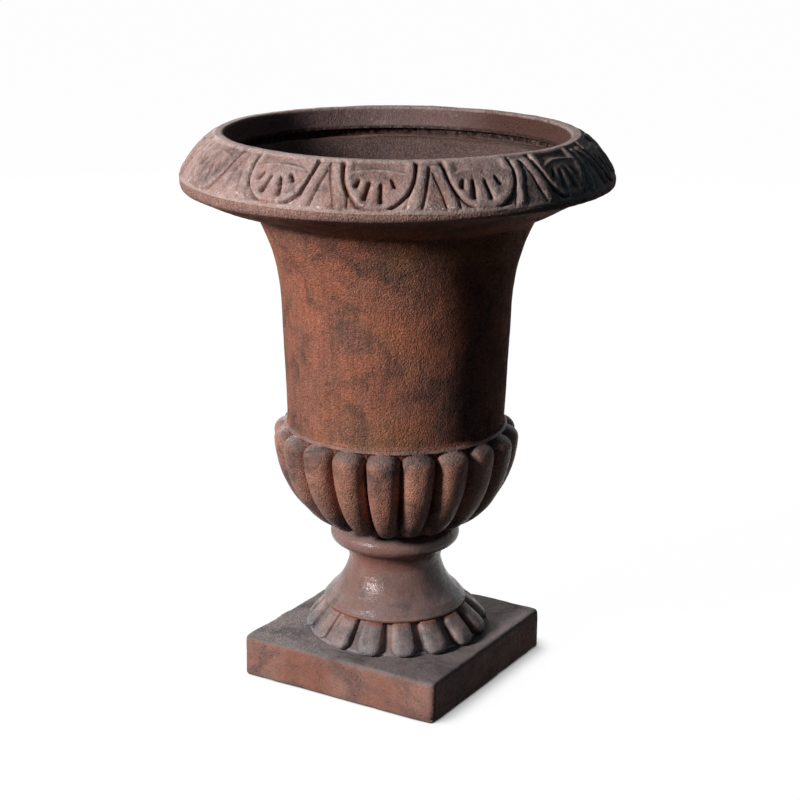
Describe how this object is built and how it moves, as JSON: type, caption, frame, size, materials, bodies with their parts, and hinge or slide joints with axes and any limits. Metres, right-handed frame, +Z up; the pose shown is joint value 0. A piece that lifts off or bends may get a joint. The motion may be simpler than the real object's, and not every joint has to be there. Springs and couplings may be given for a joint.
{
  "type": "goblet planter",
  "caption": "Goblet-shaped garden planter: carved rim, flared drum and gadrooned bowl lift off a turned pedestal with petals and a square plinth.",
  "frame": {"origin": "centre of the square plinth on the floor", "axes": "+Z up along the axis of the vase, X and Y parallel to the sides of the plinth"},
  "size_m": [0.456, 0.456, 0.6],
  "materials": {
    "plinth_clay": "matte, rust-brown fibre clay",
    "pedestal_clay": "matte, grey-brown fibre clay with a worn sheen",
    "bowl_clay": "matte, rust-brown fibre clay with dark patches",
    "drum_clay": "matte, rust-brown fibre clay, sandy grain",
    "rim_clay": "matte, mauve-brown fibre clay with pale worn edges",
    "bonding_mix": "matte mortar",
    "gasket_rubber": "matte"
  },
  "bodies": {
    "pedestal": {"plinth": "plinth_clay", "plinth_bedding": "bonding_mix", "foot_ring": "pedestal_clay", "foot_bedding": "bonding_mix", "socle": "pedestal_clay"},
    "seat": {"seat_gasket": "gasket_rubber"},
    "vase": {"bowl": "bowl_clay", "drum_bedding": "bonding_mix", "drum": "drum_clay", "rim_bedding": "bonding_mix", "rim": "rim_clay"}
  },
  "joints": [
    {"name": "vase_turn", "type": "hinge", "parent": "pedestal", "child": "seat", "pos_m": [0, 0, 0.168], "axis": [0, 0, 1], "continuous": true},
    {"name": "vase_lift", "type": "slide", "parent": "seat", "child": "vase", "axis": [0, 0, 1], "range_m": [0, 0.12]}
  ]
}
